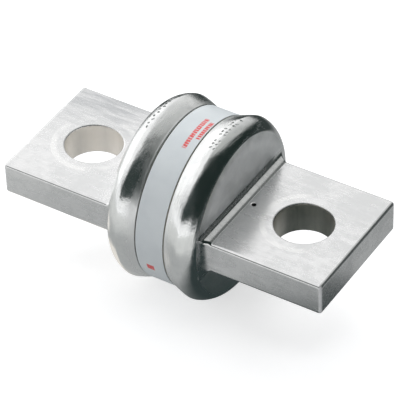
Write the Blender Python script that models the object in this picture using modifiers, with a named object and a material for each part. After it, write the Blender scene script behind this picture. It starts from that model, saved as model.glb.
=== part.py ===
# Class T fuse: two one-piece blade terminals rolled onto a glass-melamine tube filled with sand.
# Metres. The fuse lies along X, centred on the origin, with its blades level.
# The load terminal is at +X, and the line terminal is the same piece turned half way round.
import math

import bmesh
import bpy
from mathutils import Matrix

# Blades
BLADE_LENGTH = 0.0280  # bell face to blade tip
BLADE_WIDTH = 0.0310
BLADE_THICKNESS = 0.0076
BLADE_EDGE_RADIUS = 0.0003
ROOT_FILLET = 0.0022
BOLT_HOLE_DIAMETER = 0.0126
BOLT_HOLE_FROM_TIP = 0.0129
BOLT_HOLE_CHAMFER = 0.00035
PUNCH_DIAMETER = 0.0011
PUNCH_DEPTH = 0.0005
PUNCH_FROM_FACE = 0.0030

# Bells
BELL_DEPTH = 0.00736  # lip to flat face
BELL_WALL = 0.0015  # at the crest
SHOULDER_LENGTH = 0.0035
SHOULDER_DROP = 0.0025
DISC_THICKNESS = 0.0026
LIP_RISE = 0.0003  # lip's outside above the tube's
LIP_ROUNDING = 0.0003

# Tube and label
TUBE_DIAMETER = 0.0380
TUBE_WALL = 0.0035
BAND_WIDTH = 0.00708  # length of tube that shows between the lips
GROOVE_DEPTH = 0.0013
GROOVE_FLOOR = 0.0015
GROOVE_SLOPE = 0.0007
LABEL_THICKNESS = 0.00015
LABEL_SEAM = 0.00044  # bare tube on each side of the label
LABEL_SLIT = 0.0006  # where the label's two ends meet, underneath

# Inner pieces
WASHER_THICKNESS = 0.0006
ELEMENT_COUNT = 10
ELEMENT_WIDTH = 0.0120
ELEMENT_THICKNESS = 0.0002
ELEMENT_TO_BORE = 0.0039  # stack's corners to the bore
ELEMENT_SEAT_DEPTH = 0.0010
NECK_HOLE_DIAMETER = 0.0028
NECK_HOLES_ACROSS = 2
NECK_ROWS = 3
NECK_ROW_PITCH = 0.0050
FILL_HOLE_DIAMETER = 0.0036
PLUG_CHAMFER = 0.0004

# Clearances
LABEL_GAP = 0.0001
SEAT_GAP = 0.0002
ELEMENT_GAP = 0.0003

# Facets
TURN_STEPS = 60
HOLE_STEPS = 32
SMALL_STEPS = 12
NECK_HOLE_STEPS = 8
SHOULDER_STEPS = 5
FLANK_STEPS = 3
FILLET_STEPS = 5
SMOOTH_ANGLE = math.radians(35)
FLAT_ANGLE = math.radians(0.1)
MERGE_DISTANCE = 0.000001

# How far a cutter reaches past the surface it opens, and how deep the blade's root sits in the bell
CUT_OVERRUN = 0.0005
ROOT_SINK = 0.0005
FILLET_SINK = 0.00003

# Roundness of the bell's shoulder (1 is elliptical, more is flatter) and of its flank (1 is straight)
SHOULDER_POWER = 1.3
FLANK_POWER = 1.25

# Places along the fuse, measured from its middle
LIP_X = BAND_WIDTH / 2
FACE_X = LIP_X + BELL_DEPTH
TIP_X = FACE_X + BLADE_LENGTH
HOLE_X = TIP_X - BOLT_HOLE_FROM_TIP
CREST_X = FACE_X - SHOULDER_LENGTH
DISC_X = FACE_X - DISC_THICKNESS
WASHER_X = DISC_X - SEAT_GAP - WASHER_THICKNESS
TUBE_END_X = WASHER_X - SEAT_GAP
ELEMENT_END_X = DISC_X + ELEMENT_SEAT_DEPTH - SEAT_GAP

# Radii
TUBE_RADIUS = TUBE_DIAMETER / 2
BORE_RADIUS = TUBE_RADIUS - TUBE_WALL
LAND_RADIUS = TUBE_RADIUS - SEAT_GAP
GROOVE_RADIUS = TUBE_RADIUS - GROOVE_DEPTH
CREST_RADIUS = TUBE_RADIUS + BELL_WALL
LIP_RADIUS = TUBE_RADIUS + LIP_RISE
LIP_INNER_RADIUS = GROOVE_RADIUS + SEAT_GAP
FACE_RADIUS = CREST_RADIUS - SHOULDER_DROP

# The stack of elements, whose corners keep their distance from the bore
STACK_RADIUS = BORE_RADIUS - ELEMENT_TO_BORE
STACK_HALF_HEIGHT = math.sqrt(STACK_RADIUS ** 2 - (ELEMENT_WIDTH / 2) ** 2)
ELEMENT_PITCH = 2 * STACK_HALF_HEIGHT / (ELEMENT_COUNT - 1)
SLOT_WIDTH = ELEMENT_WIDTH + 2 * ELEMENT_GAP
SLOT_HEIGHT = ELEMENT_THICKNESS + 2 * ELEMENT_GAP
FILL_HOLE_Z = -(STACK_HALF_HEIGHT + SLOT_HEIGHT / 2 + BORE_RADIUS) / 2

ALONG_X = (0.0, math.radians(90), 0.0)


def new_collection(name):
    collection = bpy.data.collections.new(name)
    bpy.context.scene.collection.children.link(collection)
    return collection


def new_material(name, colour, roughness, metallic):
    material = bpy.data.materials.new(name)
    material.use_nodes = True
    shader = material.node_tree.nodes["Principled BSDF"]
    shader.inputs["Base Color"].default_value = (*colour, 1.0)
    shader.inputs["Roughness"].default_value = roughness
    shader.inputs["Metallic"].default_value = metallic
    return material


def new_object(name, data, collection, material=None, parent=None):
    piece = bpy.data.objects.new(name, data)
    collection.objects.link(piece)
    piece.parent = parent
    if material:
        data.materials.append(material)
    return piece


def hide_cutter(cutter):
    cutter.hide_render = True
    cutter.display_type = 'WIRE'


def merge_flat_faces(piece):
    decimate = piece.modifiers.new("Flats", 'DECIMATE')
    decimate.decimate_type = 'DISSOLVE'
    decimate.angle_limit = FLAT_ANGLE


def turned(name, profile, steps, collection, closed=False, material=None, parent=None):
    """Turn (radius, height) points round Z, with a flat and not a corner at each quarter."""
    start = math.pi / steps
    points = [(radius * math.cos(start), radius * math.sin(start), height) for radius, height in profile]
    edges = [(index, index + 1) for index in range(len(points) - 1)]
    if closed:
        edges.append((len(points) - 1, 0))
    mesh = bpy.data.meshes.new(name)
    mesh.from_pydata(points, edges, [])
    piece = new_object(name, mesh, collection, material, parent)
    screw = piece.modifiers.new("Turn", 'SCREW')
    screw.steps = steps
    screw.render_steps = steps
    screw.use_merge_vertices = True
    screw.merge_threshold = MERGE_DISTANCE
    merge_flat_faces(piece)
    return piece


def boolean(piece, other, operation):
    modifier = piece.modifiers.new(other.name, 'BOOLEAN')
    modifier.object = other
    modifier.operation = operation
    modifier.solver = 'EXACT'
    hide_cutter(other)


def apply_and_smooth(piece):
    """Keep the shape that the modifiers give, shaded smooth between its sharp edges."""
    evaluated = piece.evaluated_get(bpy.context.evaluated_depsgraph_get())
    mesh = bpy.data.meshes.new_from_object(evaluated)
    piece.modifiers.clear()
    piece.data = mesh
    mesh.shade_smooth()
    mesh.set_sharp_from_angle(angle=SMOOTH_ANGLE)


def element_heights():
    return [index * ELEMENT_PITCH - STACK_HALF_HEIGHT for index in range(ELEMENT_COUNT)]


def slot_cutter(name, start_x, end_x, parent=None):
    """One box for each element, to cut the slots that the elements pass through or sit in."""
    shape = bmesh.new()
    size = Matrix.Diagonal((end_x - start_x, SLOT_WIDTH, SLOT_HEIGHT, 1.0))
    for height in element_heights():
        place = Matrix.Translation(((start_x + end_x) / 2, 0.0, height))
        bmesh.ops.create_cube(shape, size=1.0, matrix=place @ size)
    mesh = bpy.data.meshes.new(name)
    shape.to_mesh(mesh)
    shape.free()
    return new_object(name, mesh, cutters, parent=parent)


def fill_hole_cutter(name, start_x, end_x, parent):
    radius = FILL_HOLE_DIAMETER / 2
    profile = [(0.0, end_x), (radius, end_x), (radius, start_x), (0.0, start_x)]
    cutter = turned(name, profile, SMALL_STEPS, cutters, parent=parent)
    cutter.rotation_euler = ALONG_X
    cutter.location.z = FILL_HOLE_Z
    return cutter


# Terminals
def shoulder_points():
    """From the flat face's edge out to the crest."""
    points = []
    for step in range(SHOULDER_STEPS + 1):
        angle = math.pi / 2 * step / SHOULDER_STEPS
        radius = FACE_RADIUS + SHOULDER_DROP * math.sin(angle) ** SHOULDER_POWER
        height = CREST_X + SHOULDER_LENGTH * max(math.cos(angle), 0.0) ** SHOULDER_POWER
        points.append((radius, height))
    return points


def flank_points():
    """From below the crest down to where the lip's rounding starts."""
    bottom = LIP_X + LIP_ROUNDING
    points = []
    for step in range(1, FLANK_STEPS + 1):
        share = step / FLANK_STEPS
        radius = CREST_RADIUS - (CREST_RADIUS - LIP_RADIUS) * share ** FLANK_POWER
        points.append((radius, CREST_X - (CREST_X - bottom) * share))
    return points


def lip_points():
    """Round the lip's end, then up inside it and out of the tube's groove."""
    diagonal = LIP_ROUNDING * (1 - math.sqrt(0.5))
    slope = math.hypot(GROOVE_SLOPE, LAND_RADIUS - GROOVE_RADIUS)
    rise = (LAND_RADIUS - GROOVE_RADIUS) / GROOVE_SLOPE
    # The groove's slope, moved out by the seat gap, meets the two inner faces of the bell
    corner_x = LIP_X - SEAT_GAP + GROOVE_FLOOR
    corner_shift = SEAT_GAP * (slope - GROOVE_SLOPE) / (LAND_RADIUS - GROOVE_RADIUS)
    inner_corner = corner_x - corner_shift
    outer_corner = inner_corner + (TUBE_RADIUS - LIP_INNER_RADIUS) / rise
    return [
        (LIP_RADIUS - diagonal, LIP_X + diagonal),
        (LIP_RADIUS - LIP_ROUNDING, LIP_X),
        (LIP_INNER_RADIUS, LIP_X),
        (LIP_INNER_RADIUS, inner_corner),
        (TUBE_RADIUS, outer_corner),
    ]


def bell_profile():
    profile = [(0.0, FACE_X)]
    profile += shoulder_points()
    profile += flank_points()
    profile += lip_points()
    profile += [(TUBE_RADIUS, DISC_X), (0.0, DISC_X)]
    return profile


def blade(name, parent):
    """A bar with rounded edges whose root flares into the bell's face, with mitred corners."""
    shape = bmesh.new()
    root_x = FACE_X + ROOT_FILLET
    length = TIP_X - root_x
    size = Matrix.Diagonal((length, BLADE_WIDTH, BLADE_THICKNESS, 1.0))
    place = Matrix.Translation((root_x + length / 2, 0.0, 0.0))
    bmesh.ops.create_cube(shape, size=1.0, matrix=place @ size)
    root = min(shape.faces, key=lambda face: face.calc_center_median().x)
    edges = [edge for edge in shape.edges if edge not in root.edges[:]]
    bmesh.ops.bevel(
        shape, geom=edges, offset=BLADE_EDGE_RADIUS, segments=2, profile=0.5, affect='EDGES')
    flare = []
    for step in range(1, FILLET_STEPS + 1):
        angle = math.pi / 2 * step / FILLET_STEPS
        drop = ROOT_FILLET * (1 - math.sin(angle))
        flare.append((FACE_X + drop, ROOT_FILLET * (1 - math.cos(angle))))
    flare[-1] = (FACE_X - FILLET_SINK, ROOT_FILLET)
    flare.append((FACE_X - ROOT_SINK, ROOT_FILLET))
    spread_before = 0.0
    root = min(shape.faces, key=lambda face: face.calc_center_median().x)
    for flare_x, spread in flare:
        ring = bmesh.ops.extrude_face_region(shape, geom=[root])["geom"]
        bmesh.ops.delete(shape, geom=[root], context='FACES_ONLY')
        root = next(part for part in ring if isinstance(part, bmesh.types.BMFace))
        for vertex in root.verts:
            vertex.co.x = flare_x
            vertex.co.y += math.copysign(spread - spread_before, vertex.co.y)
            vertex.co.z += math.copysign(spread - spread_before, vertex.co.z)
        spread_before = spread
    bmesh.ops.recalc_face_normals(shape, faces=shape.faces[:])
    mesh = bpy.data.meshes.new(name)
    shape.to_mesh(mesh)
    shape.free()
    return new_object(name, mesh, cutters, parent=parent)


def bolt_hole_cutter(name, parent):
    radius = BOLT_HOLE_DIAMETER / 2
    top = BLADE_THICKNESS / 2
    wide = radius + BOLT_HOLE_CHAMFER + CUT_OVERRUN
    profile = [
        (0.0, top + CUT_OVERRUN),
        (wide, top + CUT_OVERRUN),
        (radius, top - BOLT_HOLE_CHAMFER),
        (radius, BOLT_HOLE_CHAMFER - top),
        (wide, -top - CUT_OVERRUN),
        (0.0, -top - CUT_OVERRUN),
    ]
    cutter = turned(name, profile, HOLE_STEPS, cutters, parent=parent)
    cutter.location.x = HOLE_X
    return cutter


def punch_cutter(name, parent):
    top = BLADE_THICKNESS / 2
    wide = PUNCH_DIAMETER / 2 * (PUNCH_DEPTH + CUT_OVERRUN) / PUNCH_DEPTH
    profile = [(0.0, top + CUT_OVERRUN), (wide, top + CUT_OVERRUN), (0.0, top - PUNCH_DEPTH)]
    cutter = turned(name, profile, SMALL_STEPS, cutters, parent=parent)
    cutter.location.x = FACE_X + PUNCH_FROM_FACE
    return cutter


def terminal(end, frame):
    piece = turned(end + "_terminal", bell_profile(), TURN_STEPS, parts, material=plated, parent=frame)
    piece.rotation_euler = ALONG_X
    boolean(piece, blade(end + "_blade", frame), 'UNION')
    boolean(piece, bolt_hole_cutter(end + "_bolt_hole", frame), 'DIFFERENCE')
    seats = slot_cutter(end + "_seats", DISC_X - CUT_OVERRUN, DISC_X + ELEMENT_SEAT_DEPTH, frame)
    boolean(piece, seats, 'DIFFERENCE')
    return piece


# Tube and label
def tube_profile():
    half = [
        (TUBE_RADIUS, LIP_X - SEAT_GAP),
        (GROOVE_RADIUS, LIP_X - SEAT_GAP),
        (GROOVE_RADIUS, LIP_X - SEAT_GAP + GROOVE_FLOOR),
        (LAND_RADIUS, LIP_X - SEAT_GAP + GROOVE_FLOOR + GROOVE_SLOPE),
        (LAND_RADIUS, TUBE_END_X),
        (BORE_RADIUS, TUBE_END_X),
    ]
    upper = half[::-1]
    lower = [(radius, -height) for radius, height in half]
    return upper + lower


def casing_tube():
    piece = turned("casing_tube", tube_profile(), TURN_STEPS, parts, closed=True, material=melamine)
    piece.rotation_euler = ALONG_X
    return piece


def label_wrap():
    half = LIP_X - LABEL_SEAM
    inside = TUBE_RADIUS + LABEL_GAP
    outside = inside + LABEL_THICKNESS
    profile = [(outside, half), (outside, -half), (inside, -half), (inside, half)]
    piece = turned("label_wrap", profile, TURN_STEPS, parts, closed=True, material=label_film)
    piece.rotation_euler = ALONG_X
    shape = bmesh.new()
    size = Matrix.Diagonal((BAND_WIDTH, LABEL_SLIT, 2 * BELL_WALL, 1.0))
    bmesh.ops.create_cube(shape, size=1.0, matrix=Matrix.Translation((0.0, 0.0, -inside)) @ size)
    mesh = bpy.data.meshes.new("label_slit")
    shape.to_mesh(mesh)
    shape.free()
    boolean(piece, new_object("label_slit", mesh, cutters), 'DIFFERENCE')
    return piece


# Inner pieces
def end_washer(end, frame):
    top = WASHER_X + WASHER_THICKNESS
    profile = [(0.0, top), (LAND_RADIUS, top), (LAND_RADIUS, WASHER_X), (0.0, WASHER_X)]
    piece = turned(end + "_end_washer", profile, TURN_STEPS, parts, material=fibre, parent=frame)
    piece.rotation_euler = ALONG_X
    slots = slot_cutter(end + "_washer_slots", WASHER_X - CUT_OVERRUN, top + CUT_OVERRUN, frame)
    boolean(piece, slots, 'DIFFERENCE')
    return piece


def sand_filler():
    radius = BORE_RADIUS - SEAT_GAP
    half = WASHER_X - SEAT_GAP
    profile = [(0.0, half), (radius, half), (radius, -half), (0.0, -half)]
    piece = turned("sand_filler", profile, TURN_STEPS, parts, material=sand)
    piece.rotation_euler = ALONG_X
    boolean(piece, slot_cutter("sand_slots", -half - CUT_OVERRUN, half + CUT_OVERRUN), 'DIFFERENCE')
    return piece


def circle_points(centre_x, centre_y, radius, start, end, steps):
    points = []
    for step in range(steps):
        angle = start + (end - start) * step / steps
        points.append((centre_x + radius * math.cos(angle), centre_y + radius * math.sin(angle)))
    return points


def element_outline():
    """The ribbon's edge: each row of necks starts and ends in half a hole."""
    radius = NECK_HOLE_DIAMETER / 2
    rows = [(row - (NECK_ROWS - 1) / 2) * NECK_ROW_PITCH for row in range(NECK_ROWS)]
    edge = ELEMENT_WIDTH / 2
    half_steps = NECK_HOLE_STEPS // 2
    lower = [(-ELEMENT_END_X, -edge)]
    for row_x in rows:
        lower += circle_points(row_x, -edge, radius, math.pi, 0.0, half_steps)
        lower.append((row_x + radius, -edge))
    lower.append((ELEMENT_END_X, -edge))
    upper = [(-x, -y) for x, y in lower]
    return lower + upper


def element_holes():
    radius = NECK_HOLE_DIAMETER / 2
    pitch = ELEMENT_WIDTH / (NECK_HOLES_ACROSS + 1)
    holes = []
    for row in range(NECK_ROWS):
        for column in range(NECK_HOLES_ACROSS):
            centre_x = (row - (NECK_ROWS - 1) / 2) * NECK_ROW_PITCH
            centre_y = (column - (NECK_HOLES_ACROSS - 1) / 2) * pitch
            holes.append(circle_points(centre_x, centre_y, radius, 0.0, 2 * math.pi, NECK_HOLE_STEPS))
    return holes


def element_ribbon():
    curve = bpy.data.curves.new("fuse_element", 'CURVE')
    curve.dimensions = '2D'
    curve.fill_mode = 'BOTH'
    curve.extrude = ELEMENT_THICKNESS / 2
    for points in [element_outline()] + element_holes():
        spline = curve.splines.new('POLY')
        spline.points.add(len(points) - 1)
        for point, (x, y) in zip(spline.points, points):
            point.co = (x, y, 0.0, 1.0)
        spline.use_cyclic_u = True
    curve.materials.append(ribbon_metal)
    return curve


def filler_plug(frame):
    radius = FILL_HOLE_DIAMETER / 2 - SEAT_GAP
    top = FACE_X - SEAT_GAP
    profile = [
        (0.0, top),
        (radius - PLUG_CHAMFER, top),
        (radius, top - PLUG_CHAMFER),
        (radius, DISC_X),
        (0.0, DISC_X),
    ]
    piece = turned("filler_plug", profile, SMALL_STEPS, parts, material=plug_metal, parent=frame)
    piece.rotation_euler = ALONG_X
    piece.location.z = FILL_HOLE_Z
    return piece


for old in list(bpy.data.objects):
    bpy.data.objects.remove(old, do_unlink=True)

parts = new_collection("class_t_fuse")
cutters = new_collection("cutters")

plated = new_material("silver_plated_metal", (0.80, 0.80, 0.79), 0.28, 1.0)
melamine = new_material("glass_melamine", (0.055, 0.048, 0.035), 0.55, 0.0)
label_film = new_material("label_film", (0.62, 0.67, 0.70), 0.42, 0.0)
fibre = new_material("vulcanised_fibre", (0.30, 0.26, 0.20), 0.80, 0.0)
sand = new_material("quartz_sand", (0.72, 0.68, 0.58), 0.95, 0.0)
ribbon_metal = new_material("silver_ribbon", (0.86, 0.84, 0.80), 0.22, 1.0)
plug_metal = new_material("plug_steel", (0.52, 0.52, 0.53), 0.40, 1.0)

load_end = new_object("load_end", None, parts)
line_end = new_object("line_end", None, parts)
line_end.rotation_euler.z = math.pi

load_terminal = terminal("load", load_end)
boolean(load_terminal, punch_cutter("punch_mark", load_end), 'DIFFERENCE')
line_terminal = terminal("line", line_end)
fill_hole = fill_hole_cutter("fill_hole", DISC_X - CUT_OVERRUN, FACE_X + CUT_OVERRUN, line_end)
boolean(line_terminal, fill_hole, 'DIFFERENCE')

load_washer = end_washer("load", load_end)
line_washer = end_washer("line", line_end)
washer_hole = fill_hole_cutter("washer_hole", WASHER_X - CUT_OVERRUN, DISC_X, line_end)
boolean(line_washer, washer_hole, 'DIFFERENCE')

turned_pieces = [
    load_terminal, line_terminal, load_washer, line_washer,
    casing_tube(), label_wrap(), sand_filler(), filler_plug(line_end),
]
for piece in turned_pieces:
    apply_and_smooth(piece)

ribbon = element_ribbon()
for number, height in enumerate(element_heights(), start=1):
    element = new_object("fuse_element_{:02d}".format(number), ribbon, parts)
    element.location.z = height
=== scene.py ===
import bpy
import math
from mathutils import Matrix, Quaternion, Vector


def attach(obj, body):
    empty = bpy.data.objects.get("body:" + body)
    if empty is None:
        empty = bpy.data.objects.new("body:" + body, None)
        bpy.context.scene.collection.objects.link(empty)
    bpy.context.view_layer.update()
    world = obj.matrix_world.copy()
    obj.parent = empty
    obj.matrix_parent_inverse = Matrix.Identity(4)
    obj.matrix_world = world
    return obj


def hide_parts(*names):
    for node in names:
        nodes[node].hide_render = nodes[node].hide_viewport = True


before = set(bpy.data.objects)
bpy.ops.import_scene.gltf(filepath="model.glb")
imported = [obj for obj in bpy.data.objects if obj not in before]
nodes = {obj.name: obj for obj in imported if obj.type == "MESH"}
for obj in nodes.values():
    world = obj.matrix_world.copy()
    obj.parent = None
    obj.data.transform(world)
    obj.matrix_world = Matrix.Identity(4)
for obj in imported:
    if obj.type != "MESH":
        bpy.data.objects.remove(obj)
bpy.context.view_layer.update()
print("frame loaded:", len(nodes), "nodes")


# Camera, at the photo's place: the fuse is seen from the right, the front and above
cameraSetup = {
    "place": (0.25233, -0.38780, 0.39346),
    "turn": (49.531, 1.455, 31.752),      # degrees
    "lens": 258.8,
    "sensor": 36.0,
}


def addCamera():
    data = bpy.data.cameras.new("photoCamera")
    data.lens = cameraSetup["lens"]
    data.sensor_width = cameraSetup["sensor"]
    data.clip_start = 0.01
    data.clip_end = 50.0
    camera = bpy.data.objects.new("photoCamera", data)
    camera.location = cameraSetup["place"]
    camera.rotation_euler = [math.radians(angle) for angle in cameraSetup["turn"]]
    bpy.context.scene.collection.objects.link(camera)
    bpy.context.scene.camera = camera


addCamera()
bpy.context.scene.view_settings.view_transform = "Standard"
print("camera placed")


# Modelling helpers, for work as by hand in edit mode
reach = {                     # metres within which two points count as one
    "ring": 0.000002,
    "sliver": 0.000004,
    "height": 0.00001,
    "radius": 0.00002,
    "end": 0.0001,
}
sharpAngle = 30               # degrees


def deselectAll():
    bpy.ops.object.select_all(action="DESELECT")


def makeActive(piece):
    deselectAll()
    piece.select_set(True)
    bpy.context.view_layer.objects.active = piece


def fixPlace(piece):
    makeActive(piece)
    bpy.ops.object.transform_apply(location=True, rotation=True, scale=True)


def editAll(piece):
    makeActive(piece)
    bpy.ops.object.mode_set(mode="EDIT")
    bpy.ops.mesh.select_all(action="SELECT")


def leaveEdit():
    bpy.ops.object.mode_set(mode="OBJECT")


def editPicked(piece, parts, chosen, selectMode):
    makeActive(piece)
    for others in (piece.data.vertices, piece.data.edges, piece.data.polygons):
        others.foreach_set("select", [False] * len(others))
    parts.foreach_set("select", chosen)
    bpy.context.tool_settings.mesh_select_mode = selectMode
    bpy.ops.object.mode_set(mode="EDIT")


def pickEdges(piece, test):
    mesh = piece.data
    chosen = [test([mesh.vertices[index].co for index in edge.vertices]) for edge in mesh.edges]
    editPicked(piece, mesh.edges, chosen, (False, True, False))


def pickFaces(piece, test):
    faces = piece.data.polygons
    editPicked(piece, faces, [test(face) for face in faces], (False, False, True))


def combine(piece, tool, operation, cutFinish=None):
    # cutFinish is the material of the faces that the tool leaves
    if not tool.data.materials:
        tool.data.materials.append(cutFinish or piece.data.materials[0])
    step = piece.modifiers.new("combine", "BOOLEAN")
    step.operation = operation
    step.solver = "EXACT"
    step.object = tool
    step.material_mode = "TRANSFER"
    makeActive(piece)
    bpy.ops.object.modifier_apply(modifier=step.name)
    bpy.data.objects.remove(tool)


def dropSlivers(piece):
    # the cuts leave a few faces with no area, which are merged away
    editAll(piece)
    bpy.ops.mesh.remove_doubles(threshold=reach["sliver"])
    bpy.ops.mesh.dissolve_degenerate(threshold=reach["sliver"])
    bpy.ops.mesh.normals_make_consistent(inside=False)
    leaveEdit()


def evenShading(piece):
    # large flats keep their own normals, so that no shading bleeds in from the rounded edges
    makeActive(piece)
    bpy.ops.object.shade_smooth_by_angle(angle=math.radians(sharpAngle))
    weights = piece.modifiers.new("flats", "WEIGHTED_NORMAL")
    weights.mode = "FACE_AREA"
    weights.weight = 100
    weights.keep_sharp = True
    bpy.ops.object.modifier_apply(modifier=weights.name)


def turnFrom(name, stations, segments, close):
    # a ring on the fuse's axis, pulled and scaled from one (x, radius) station to the next
    deselectAll()
    x, radius = stations[0]
    bpy.ops.mesh.primitive_circle_add(
        vertices=segments, radius=radius, fill_type="NOTHING",
        location=(x, 0, 0), rotation=(0, math.radians(90), 0))
    piece = bpy.context.object
    piece.name = name
    fixPlace(piece)
    bpy.context.tool_settings.mesh_select_mode = (False, True, False)
    editAll(piece)
    if close == "caps":
        bpy.ops.mesh.edge_face_add()
    for nextX, nextRadius in stations[1:]:
        bpy.ops.mesh.extrude_edges_move(TRANSFORM_OT_translate={"value": (nextX - x, 0, 0)})
        size = nextRadius / radius
        bpy.ops.transform.resize(value=(1, size, size), center_override=(nextX, 0, 0))
        x, radius = nextX, nextRadius
    if close == "caps":
        bpy.ops.mesh.edge_face_add()
    bpy.ops.mesh.select_all(action="SELECT")
    bpy.ops.mesh.remove_doubles(threshold=reach["ring"])
    bpy.ops.mesh.normals_make_consistent(inside=False)
    leaveEdit()
    return piece


# Terminals
bell = {
    "faceX": 0.0109,          # flat face, from the middle of the fuse
    "crestX": 0.0074,
    "lipX": 0.00354,
    "discX": 0.0083,          # inner face
    "crestRadius": 0.0205,
    "faceRadius": 0.0180,
    "lipRadius": 0.0193,
    "lipInside": 0.0179,
    "skirtInside": 0.0190,
    "lipRound": 0.0003,
    "insideSlope": (0.00479, 0.00549),    # along the fuse, where the inside widens from lip to skirt
    "capInset": 0.0002,       # from the flat face's edge in to the cap
    "shoulderPower": 1.3,
    "flankPower": 1.25,
    "steps": (22, 12, 5),     # along the shoulder, the flank and the lip
    "segments": 256,
}
blade = {
    "tipX": 0.0389,
    "width": 0.0310,
    "thickness": 0.0076,
    "edgeRound": 0.0007,
    "edgeSteps": 6,
    # raised bead at the root: millimetres out of the bell's face and up from the blade
    "bead": [
        (1.9, 0.0), (1.86, 0.02), (1.76, 0.09), (1.6, 0.205), (1.44, 0.32), (1.32, 0.395), (1.17, 0.455),
        (0.95, 0.53), (0.68, 0.62), (0.45, 0.71), (0.34, 0.79),
    ],
    "hollowStart": 35,        # degrees, where the hollow above the bead begins
    "hollowTop": 0.0021,
    "hollowSteps": 14,
    "sideFillet": 0.0021,     # plain fillet at the blade's two narrow sides
    "rootSink": 0.0005,
    "holeX": 0.0260,
    "holeRadius": 0.0063,
    "holeSegments": 160,
    "holeChamfer": 0.00045,
    "chamferSteps": 3,
}
punchMark = {
    "x": 0.0139,
    "dish": (0.00085, 0.3, 0.0003),       # radius at the face, share of it at the bottom, depth
    "pit": (0.00055, 0.6, 0.0009),
    "segments": 32,
    # the pit's two near-black colours are painted shade
    "inside": (0.05, 0.05, 0.05, 1),
    "pitShade": (0.02, 0.02, 0.02, 1),
}
fillHole = {"z": -0.012872, "radius": 0.0018, "segments": 64}
drillLength = {"bolt": 0.02, "fill": 0.01}


def shoulderStations(steps):
    stations = []
    for step in range(steps + 1):
        angle = math.pi / 2 * step / steps
        out = math.sin(angle) ** bell["shoulderPower"]
        along = max(math.cos(angle), 0) ** bell["shoulderPower"]
        radius = bell["faceRadius"] + (bell["crestRadius"] - bell["faceRadius"]) * out
        stations.append((bell["crestX"] + (bell["faceX"] - bell["crestX"]) * along, radius))
    return stations


def flankStations(steps):
    foot = bell["lipX"] + bell["lipRound"]
    stations = []
    for step in range(1, steps + 1):
        share = step / steps
        drop = (bell["crestRadius"] - bell["lipRadius"]) * share ** bell["flankPower"]
        stations.append((bell["crestX"] - (bell["crestX"] - foot) * share, bell["crestRadius"] - drop))
    return stations


def lipStations(steps):
    stations = []
    for step in range(1, steps + 1):
        angle = math.pi / 2 * step / steps
        inward = bell["lipRound"] * (1 - math.cos(angle))
        along = bell["lipRound"] * (1 - math.sin(angle))
        stations.append((bell["lipX"] + along, bell["lipRadius"] - inward))
    return stations


def makeBell(name):
    shoulderSteps, flankSteps, lipSteps = bell["steps"]
    slopeStart, slopeEnd = bell["insideSlope"]
    stations = [(bell["faceX"], bell["faceRadius"] - bell["capInset"])]
    stations += shoulderStations(shoulderSteps) + flankStations(flankSteps) + lipStations(lipSteps)
    stations += [
        (bell["lipX"], bell["lipInside"]),
        (slopeStart, bell["lipInside"]),
        (slopeEnd, bell["skirtInside"]),
        (bell["discX"], bell["skirtInside"]),
    ]
    return turnFrom(name, stations, bell["segments"], "caps")


def sideSpread(x):
    # how far the plain fillet at the narrow sides stands out from the blade at a place along the fuse
    inside = min(max(bell["faceX"] + blade["sideFillet"] - x, 0), blade["sideFillet"])
    return blade["sideFillet"] - math.sqrt(blade["sideFillet"] ** 2 - inside ** 2)


def makeBlade(name):
    # a bar from a cube: its free edges are rounded, then its root face is pulled into the bell's face
    startX = bell["faceX"] + blade["sideFillet"]
    length = blade["tipX"] - startX
    middleX = startX + length / 2
    deselectAll()
    bpy.ops.mesh.primitive_cube_add(
        size=1, location=(middleX, 0, 0), scale=(length, blade["width"], blade["thickness"]))
    piece = bpy.context.object
    piece.name = name
    fixPlace(piece)
    pickEdges(piece, lambda ends: max(end.x for end in ends) > middleX)
    bpy.ops.mesh.bevel(offset=blade["edgeRound"], segments=blade["edgeSteps"], affect="EDGES")
    leaveEdit()
    stations = [(bell["faceX"] + out / 1000, up / 1000) for out, up in blade["bead"]]
    footX, footUp = stations[-1]
    first = math.radians(blade["hollowStart"])
    for step in range(1, blade["hollowSteps"] + 1):
        angle = first + (math.pi / 2 - first) * step / blade["hollowSteps"]
        inward = (math.sin(angle) - math.sin(first)) / (1 - math.sin(first))
        upward = 1 - math.cos(angle) / math.cos(first)
        stations.append((
            footX - (footX - bell["faceX"]) * inward,
            footUp + (blade["hollowTop"] - footUp) * upward))
    stations.append((bell["faceX"] - blade["rootSink"], blade["hollowTop"]))
    pickFaces(piece, lambda face: face.center.x < startX + reach["end"] and abs(face.normal.x) > 0.9)
    x, across, tall = startX, blade["width"], blade["thickness"]
    for nextX, rise in stations:
        bpy.ops.mesh.extrude_region_move(TRANSFORM_OT_translate={"value": (nextX - x, 0, 0)})
        nextAcross = blade["width"] + 2 * sideSpread(nextX)
        nextTall = blade["thickness"] + 2 * rise
        bpy.ops.transform.resize(
            value=(1, nextAcross / across, nextTall / tall), center_override=(nextX, 0, 0))
        x, across, tall = nextX, nextAcross, nextTall
    bpy.ops.mesh.select_all(action="SELECT")
    bpy.ops.mesh.normals_make_consistent(inside=False)
    leaveEdit()
    return piece


def drillHole(piece):
    deselectAll()
    bpy.ops.mesh.primitive_cylinder_add(
        vertices=blade["holeSegments"], radius=blade["holeRadius"], depth=drillLength["bolt"],
        location=(blade["holeX"], 0, 0))
    combine(piece, bpy.context.object, "DIFFERENCE", boreMetal)

    def onRim(ends):
        return all(
            abs(abs(end.z) - blade["thickness"] / 2) < reach["height"]
            and abs(math.hypot(end.x - blade["holeX"], end.y) - blade["holeRadius"]) < reach["radius"]
            for end in ends)

    pickEdges(piece, onRim)
    bpy.ops.mesh.bevel(offset=blade["holeChamfer"], segments=blade["chamferSteps"], affect="EDGES")
    leaveEdit()


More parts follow.
